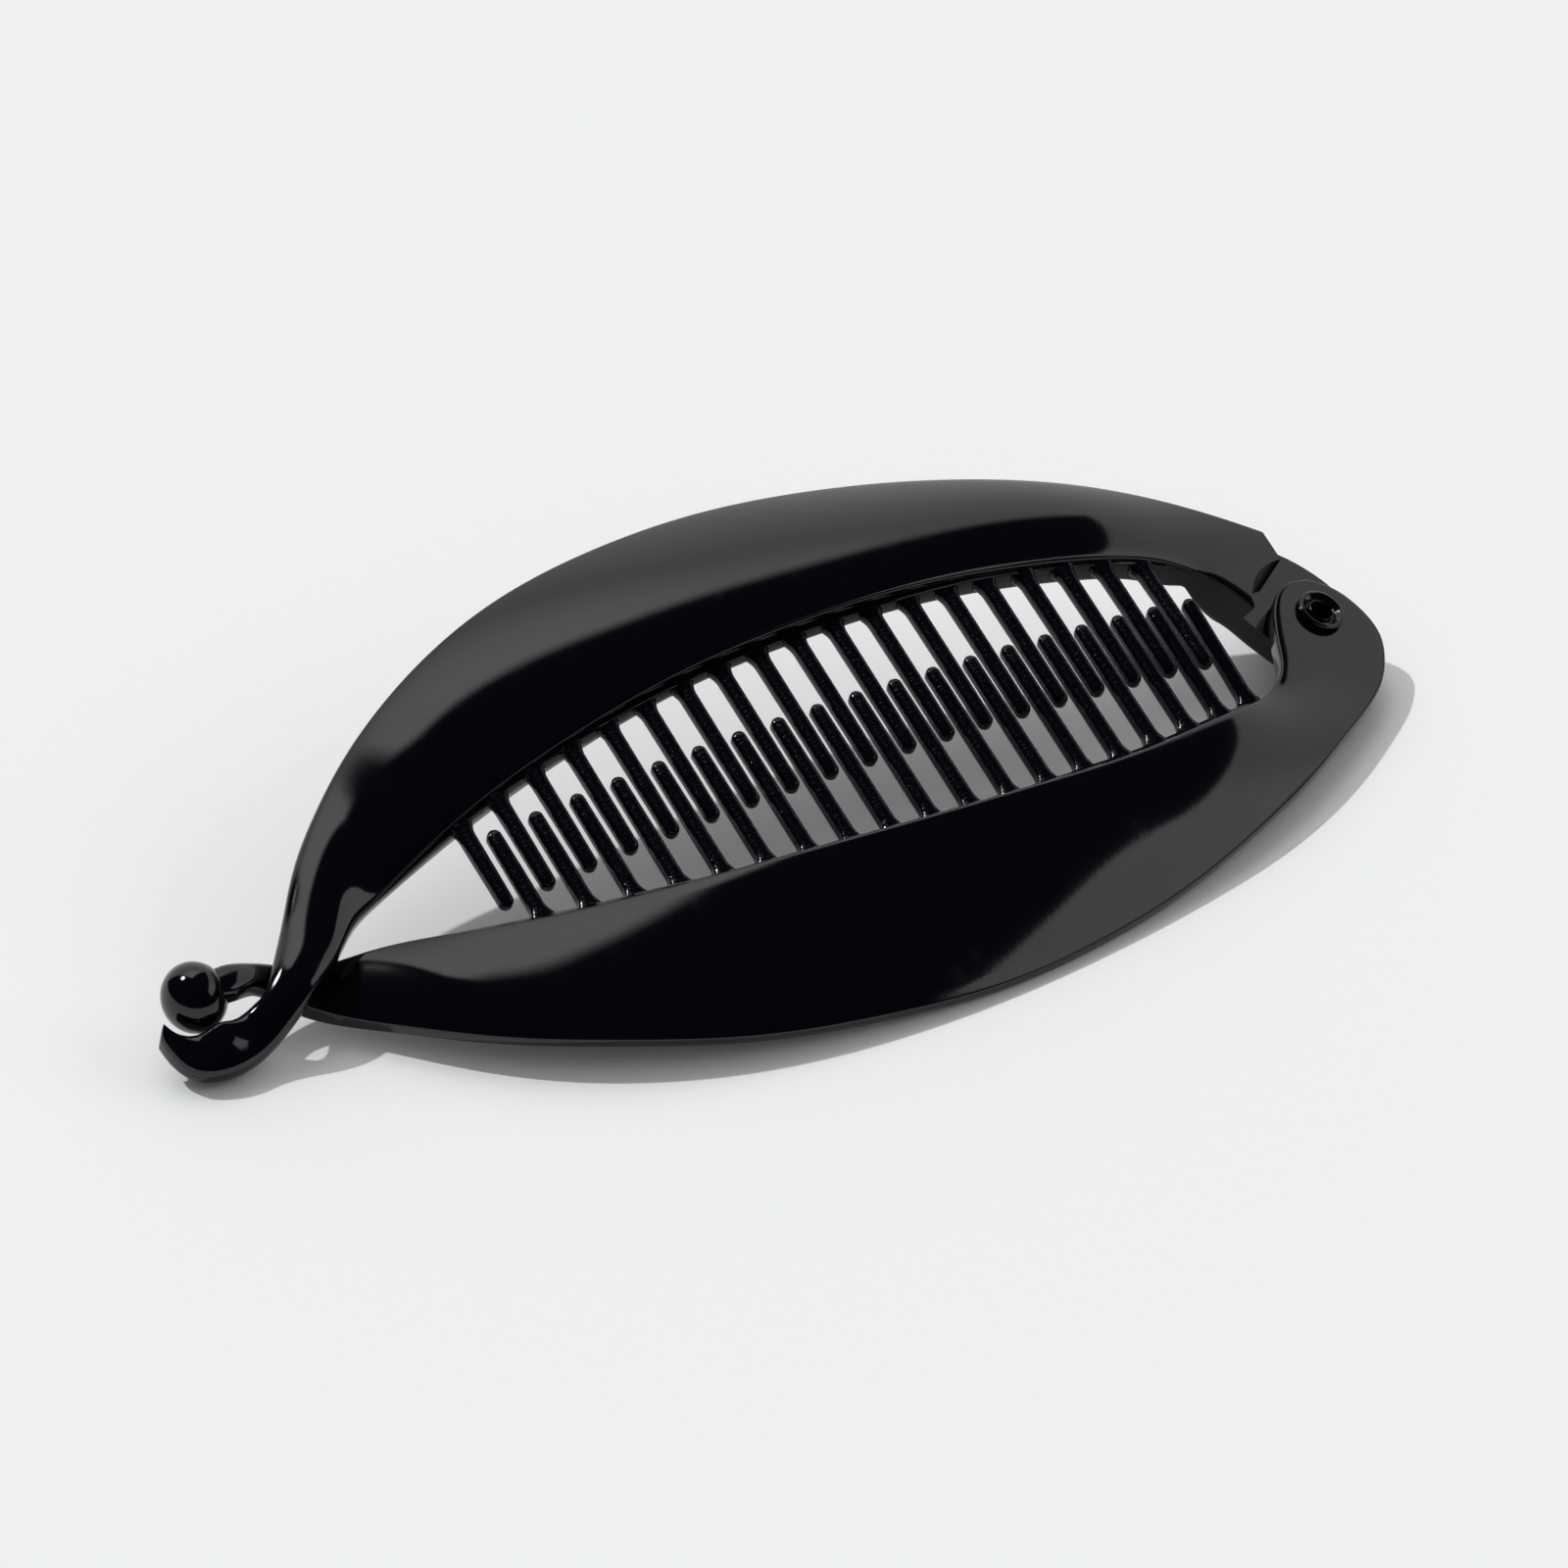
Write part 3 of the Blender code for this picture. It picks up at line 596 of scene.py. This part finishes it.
def comb(side, sizes):
    """All teeth of one half as loose bodies, to be joined to its shell."""
    bm = bmesh.new()
    pitch = sizes.tooth_pitch / MM
    shift = 0.0 if side > 0 else pitch / 2
    for i in range(sizes.teeth):
        skin_rings(bm, tooth_rings((i - (sizes.teeth - 1) / 2) * pitch + shift, side, sizes))
    return bm


def knob(radius):
    """The ball and the hollow rounding that leads from it to the tail, turned about the tail's axis."""
    axis = KNOB_NECK_END - KNOB_CENTRE
    hollow_out = KNOB_NECK_RADIUS + KNOB_FILLET
    hollow_along = math.sqrt((radius + KNOB_FILLET) ** 2 - hollow_out ** 2)
    leave = math.atan2(hollow_out, hollow_along)
    profile = []
    for i in range(KNOB_BALL_STEPS + 1):
        angle = math.pi + (leave - math.pi) * i / KNOB_BALL_STEPS
        profile.append((radius * math.cos(angle), radius * math.sin(angle)))
    for i in range(1, KNOB_FILLET_STEPS + 1):
        angle = math.pi + leave + (math.pi / 2 - leave) * i / KNOB_FILLET_STEPS
        profile.append((hollow_along + KNOB_FILLET * math.cos(angle),
                        hollow_out + KNOB_FILLET * math.sin(angle)))
    profile.append((hollow_along, 0.0))
    bm = bmesh.new()
    loop = [bm.verts.new((0.0, out, along)) for along, out in profile]
    edges = [bm.edges.new(pair) for pair in zip(loop[:-1], loop[1:])]
    bmesh.ops.spin(bm, geom=loop + edges, axis=(0, 0, 1), cent=(0, 0, 0), steps=KNOB_SIDES, angle=2 * math.pi)
    bmesh.ops.remove_doubles(bm, verts=bm.verts, dist=0.001)
    flatten = Matrix.Scale(KNOB_FLATNESS, 4, (1, 0, 0))
    turn = axis.to_track_quat('Z', 'Y').to_matrix().to_4x4()
    bmesh.ops.transform(bm, verts=bm.verts, matrix=Matrix.Translation(KNOB_CENTRE) @ flatten @ turn)
    bmesh.ops.recalc_face_normals(bm, faces=bm.faces)
    return bm


def hinge_matrix(depth):
    """Frame on the hinge axis, depth below the top of the pin, in millimetres."""
    tilt = Matrix.Rotation(math.radians(HINGE_TILT), 4, 'Y')
    return Matrix.Translation(HINGE) @ tilt @ Matrix.Translation((0, 0, depth))


def hinge_cylinder(radius, low, high):
    """Cylinder on the hinge axis between two depths."""
    bm = bmesh.new()
    bmesh.ops.create_cone(bm, cap_ends=True, segments=BORE_SIDES, radius1=radius, radius2=radius,
                          depth=high - low, matrix=hinge_matrix((low + high) / 2))
    return bm


def resting_pose():
    """Transform of the clip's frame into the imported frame, through the hinge's place in both."""
    lean = Matrix.Rotation(math.radians(REST_LEAN), 4, 'X')
    hinge_at = Vector(frame["joints"][0]["pos_m"])
    return Matrix.Translation(hinge_at - lean @ (HINGE * MM)) @ lean


def new_piece(name, bm, materials):
    """An object from a bmesh in millimetres, set in the resting pose."""
    bmesh.ops.scale(bm, verts=bm.verts, vec=(MM, MM, MM))
    bmesh.ops.recalc_face_normals(bm, faces=bm.faces)
    mesh = bpy.data.meshes.new(name)
    bm.to_mesh(mesh)
    bm.free()
    piece = bpy.data.objects.new(name, mesh)
    piece.matrix_world = resting_pose()
    bpy.context.scene.collection.objects.link(piece)
    for material in materials:
        mesh.materials.append(material)
    return piece


def carve(piece, steps):
    """Joins and cuts the piece with helper bodies, applies the result and removes the helpers."""
    helpers = []
    for operation, bm, material in steps:
        helper = new_piece("helper", bm, [material] if material else piece.data.materials[:1])
        helpers.append(helper)
        mod = piece.modifiers.new("carve", 'BOOLEAN')
        mod.object = helper
        mod.operation = operation
        mod.solver = 'EXACT'
        mod.material_mode = 'TRANSFER'
    bpy.context.view_layer.update()
    depsgraph = bpy.context.evaluated_depsgraph_get()
    mesh = bpy.data.meshes.new_from_object(piece.evaluated_get(depsgraph))
    piece.modifiers.clear()
    piece.data = mesh
    for helper in helpers:
        bpy.data.objects.remove(helper, do_unlink=True)
    mesh.shade_smooth()
    mesh.set_sharp_from_angle(angle=math.radians(SHELL_SHARP_ANGLE))


def dress(piece, node, body):
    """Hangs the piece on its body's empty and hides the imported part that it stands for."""
    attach(piece, body)
    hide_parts(node)


def check_closed(piece):
    """Raises an error if the piece's mesh has an open or shared edge."""
    bm = bmesh.new()
    bm.from_mesh(piece.data)
    loose = sum(1 for edge in bm.edges if len(edge.link_faces) != 2)
    bm.free()
    if loose:
        raise RuntimeError(f"{piece.name} has {loose} edges that don't close")


class CLIP_OT_hook_half(bpy.types.Operator):
    """Adds the half with the lower hinge ear and the hook"""
    bl_idname = "clip.hook_half"
    bl_label = "Hook half"

    def execute(self, context):
        sizes = context.scene.clip_sizes
        looks = context.scene.clip_looks
        shell_plastic = polished_plastic("hook_half_shell", looks)
        teeth_plastic = comb_plastic("hook_half_comb", looks)
        full_ear = UPPER_EAR + LAP_GAP + LOWER_EAR
        shell = half_shell(ear_sections(full_ear, full_ear), HOOK_SECTIONS, 1, HOOK_HALF_THICKER, 1.0,
                           HOOK_END_REACH)
        piece = new_piece("hook_half_moulding", shell, [shell_plastic])
        lap_floor = EAR_TOP - UPPER_EAR - LAP_GAP
        step = bmesh.new()
        half_size = LAP_STEP_SIZE / 2
        bmesh.ops.create_cube(step, size=LAP_STEP_SIZE)
        bmesh.ops.translate(step, verts=step.verts,
                            vec=(LAP_STEP_X - HINGE.x + half_size, LAP_STEP_OUT, half_size))
        bmesh.ops.transform(step, verts=step.verts, matrix=hinge_matrix(lap_floor))
        carve(piece, [
            ('UNION', comb(1, sizes), teeth_plastic),
            ('DIFFERENCE', hinge_cylinder(LAP_RADIUS_TOP, lap_floor, LAP_TOP), None),
            ('DIFFERENCE', step, None),
            ('DIFFERENCE', hinge_cylinder(BORE_RADIUS, CUT_BELOW, BORE_TOP), None),
        ])
        check_closed(piece)
        dress(piece, "hook_half", "hook_side")
        return {'FINISHED'}


class CLIP_OT_knob_half(bpy.types.Operator):
    """Adds the half with the upper hinge ear and the ball knob"""
    bl_idname = "clip.knob_half"
    bl_label = "Knob half"

    def execute(self, context):
        sizes = context.scene.clip_sizes
        looks = context.scene.clip_looks
        shell_plastic = polished_plastic("knob_half_shell", looks)
        teeth_plastic = comb_plastic("knob_half_comb", looks)
        shell = half_shell(ear_sections(UPPER_EAR, UPPER_EAR), TAIL_SECTIONS, -1, KNOB_HALF_THICKER,
                           KNOB_HALF_CROWN, 0.0)
        piece = new_piece("knob_half_moulding", shell, [shell_plastic])
        carve(piece, [
            ('UNION', comb(-1, sizes), teeth_plastic),
            ('UNION', knob(sizes.knob_radius / MM), shell_plastic),
            ('DIFFERENCE', hinge_cylinder(LAP_RADIUS_UNDER, CUT_BELOW, EAR_TOP - UPPER_EAR), None),
            ('DIFFERENCE', hinge_cylinder(BORE_RADIUS, CUT_BELOW, BORE_TOP), None),
        ])
        check_closed(piece)
        dress(piece, "knob_half", "knob_side")
        return {'FINISHED'}


class CLIP_OT_hinge_pin(bpy.types.Operator):
    """Adds the hollow hinge pin with its rolled head"""
    bl_idname = "clip.hinge_pin"
    bl_label = "Hinge pin"

    def execute(self, context):
        sizes = context.scene.clip_sizes
        head = sizes.pin_head_radius / MM
        hole = sizes.pin_hole_radius / MM
        foot = PIN_FOOT_RADIUS
        head_low = EAR_TOP + PIN_SEAT_GAP
        head_high = head_low + PIN_HEAD_HEIGHT
        foot_high = EAR_TOP - UPPER_EAR - LAP_GAP - LOWER_EAR - PIN_SEAT_GAP
        foot_low = foot_high - PIN_FOOT_HEIGHT
        profile = [
            (hole, head_high - 0.9),
            (hole, head_high - 0.3),
            (hole + 0.03, head_high - 0.16),
            (hole + 0.1, head_high - 0.1),
            (hole + 0.17, head_high - 0.14),
            (hole + 0.22, head_high - 0.28),
            (hole + 0.28, head_high - 0.5),
            (hole + 0.36, head_high - 0.52),
            (hole + 0.5, head_high - 0.36),
            (head - 0.42, head_high - 0.1),
            (head - 0.36, head_high - 0.03),
            (head - 0.29, head_high),
            (head - 0.2, head_high - 0.01),
            (head - 0.08, head_high - 0.06),
            (head - 0.02, head_high - 0.14),
            (head, head_high - 0.24),
            (head, head_low),
            (PIN_RADIUS, head_low),
            (PIN_RADIUS, foot_high),
            (foot, foot_high),
            (foot, foot_low + 0.15),
            (foot - 0.15, foot_low),
            (hole, foot_low),
        ]
        bm = bmesh.new()
        rings = []
        for k in range(PIN_SIDES):
            angle = 2 * math.pi * k / PIN_SIDES
            rings.append([bm.verts.new((r * math.cos(angle), r * math.sin(angle), z)) for r, z in profile])
        for k in range(PIN_SIDES):
            join_rings(bm, rings[k], rings[(k + 1) % PIN_SIDES])
        bmesh.ops.transform(bm, verts=bm.verts, matrix=hinge_matrix(0))
        gloss = polished_plastic("hinge_pin_gloss", context.scene.clip_looks)
        piece = new_piece("hinge_pin_eyelet", bm, [gloss])
        piece.data.shade_smooth()
        piece.data.set_sharp_from_angle(angle=math.radians(PIN_SHARP_ANGLE))
        check_closed(piece)
        dress(piece, "hinge_pin", "hook_side")
        return {'FINISHED'}


class CLIP_OT_studio(bpy.types.Operator):
    """Adds the pale floor, the lights, the surroundings and the camera"""
    bl_idname = "clip.studio"
    bl_label = "Studio"

    def execute(self, context):
        looks = context.scene.clip_looks
        context.scene.view_settings.view_transform = 'Standard'
        self.add_floor(looks)
        self.add_sun("key_light", looks.key_power, KEY_ANGLE, KEY_DIRECTION)
        panel = self.add_sun("glint_panel", looks.glint_power, GLINT_ANGLE, KEY_DIRECTION)
        panel.visible_diffuse = False
        bounce = self.add_sun("ceiling_bounce", looks.ceiling_power, CEILING_ANGLE, (0, 0, 1))
        bounce.visible_glossy = False
        self.add_surroundings(context, looks)
        self.add_camera(context)
        return {'FINISHED'}

    def add_floor(self, looks):
        bm = bmesh.new()
        bmesh.ops.create_grid(bm, x_segments=1, y_segments=1, size=3.0)
        mesh = bpy.data.meshes.new("studio_floor")
        bm.to_mesh(mesh)
        bm.free()
        floor = bpy.data.objects.new("studio_floor", mesh)
        bpy.context.scene.collection.objects.link(floor)
        mesh.materials.append(studio_floor(looks))

    def add_sun(self, name, power, angle, direction):
        """Far light from one direction: the hard key, its broad glint in the gloss, or the ceiling."""
        light = bpy.data.lights.new(name, 'SUN')
        light.energy = power
        light.angle = math.radians(angle)
        lamp = bpy.data.objects.new(name, light)
        lamp.rotation_mode = 'QUATERNION'
        lamp.rotation_quaternion = Vector(direction).to_track_quat('Z', 'Y')
        bpy.context.scene.collection.objects.link(lamp)
        return lamp

    def add_surroundings(self, context, looks):
        """White walls behind the clip and at its right, and a dark room over the camera's side."""
        world = bpy.data.worlds.new("studio_surroundings")
        context.scene.world = world
        world.use_nodes = True
        graph = Graph(world.node_tree)
        background = world.node_tree.nodes["Background"]
        ray = graph.add("ShaderNodeTexCoord", output="Generated")
        right, back, up = [graph.add("ShaderNodeSeparateXYZ", {}, {0: ray}, axis) for axis in range(3)]
        aside = graph.add("ShaderNodeMath", {"operation": 'ABSOLUTE'}, {0: right})

        def inside(distance, softness):
            return graph.smooth_step(distance, -softness, softness)

        behind = inside(back - BACK_WALL_TOP[0] * up - BACK_WALL_TOP[1] * aside, WALL_EDGE)
        behind = behind * inside(right - BACK_WALL_LEFT * back, WALL_EDGE)
        beside = inside(back - SIDE_WALL_RIGHT * right, WALL_EDGE)
        beside = beside * inside(right - SIDE_WALL_TOP[0] * up - SIDE_WALL_TOP[1] * back, SIDE_WALL_EDGE)
        beside = beside * graph.smooth_step(up, *SIDE_WALL_FOOT)
        wall = 1 - (1 - behind) * (1 - beside)
        level = wall * (WALL_LEVEL + HIGH_WALL_LEVEL * graph.smooth_step(up, *HIGH_WALL)
                        + CAMERA_SIDE_LEVEL * (1 - graph.smooth_step(back, *CAMERA_SIDE)))
        graph.feed(background.inputs["Color"], blend(graph, level, DARK_ROOM, WHITE))
        background.inputs["Strength"].default_value = looks.fill_power

    def add_camera(self, context):
        """Camera at the photo's angle to the lying clip."""
        azimuth = math.radians(CAMERA_AZIMUTH)
        elevation = math.radians(CAMERA_ELEVATION)
        back = Vector((math.sin(azimuth) * math.cos(elevation), -math.cos(azimuth) * math.cos(elevation),
                       math.sin(elevation)))
        data = bpy.data.cameras.new("photo_camera")
        data.lens = CAMERA_LENS
        data.sensor_width = SENSOR_WIDTH
        data.clip_start = 0.05
        data.clip_end = 20.0
        camera = bpy.data.objects.new("photo_camera", data)
        camera.location = resting_pose() @ (CAMERA_TARGET * MM) + back * CAMERA_DISTANCE * MM
        level = back.to_track_quat('Z', 'Y').to_matrix().to_4x4()
        roll = Matrix.Rotation(math.radians(CAMERA_ROLL), 4, 'Z')
        camera.rotation_euler = (level @ roll).to_euler()
        context.scene.collection.objects.link(camera)
        context.scene.camera = camera


class CLIP_PT_panel(bpy.types.Panel):
    """Lists the clip's pieces, sizes and colours."""
    bl_idname = "CLIP_PT_panel"
    bl_label = "Hair clip"
    bl_space_type = 'VIEW_3D'
    bl_region_type = 'UI'
    bl_category = "Hair clip"

    def draw(self, context):
        for group in (context.scene.clip_sizes, context.scene.clip_looks):
            column = self.layout.column()
            for name in group.bl_rna.properties.keys():
                if name not in {"rna_type", "name"}:
                    column.prop(group, name)
        for operator in OPERATORS:
            self.layout.operator(operator.bl_idname)


OPERATORS = (CLIP_OT_hook_half, CLIP_OT_knob_half, CLIP_OT_hinge_pin, CLIP_OT_studio)
CLASSES = (ClipSizes, ClipLooks, *OPERATORS, CLIP_PT_panel)


def register():
    for cls in CLASSES:
        bpy.utils.register_class(cls)
    bpy.types.Scene.clip_sizes = PointerProperty(type=ClipSizes)
    bpy.types.Scene.clip_looks = PointerProperty(type=ClipLooks)


def unregister():
    del bpy.types.Scene.clip_looks
    del bpy.types.Scene.clip_sizes
    for cls in reversed(CLASSES):
        bpy.utils.unregister_class(cls)


def main():
    register()
    bpy.ops.clip.hook_half()
    bpy.ops.clip.knob_half()
    bpy.ops.clip.hinge_pin()
    bpy.ops.clip.studio()


if __name__ == "__main__":
    main()
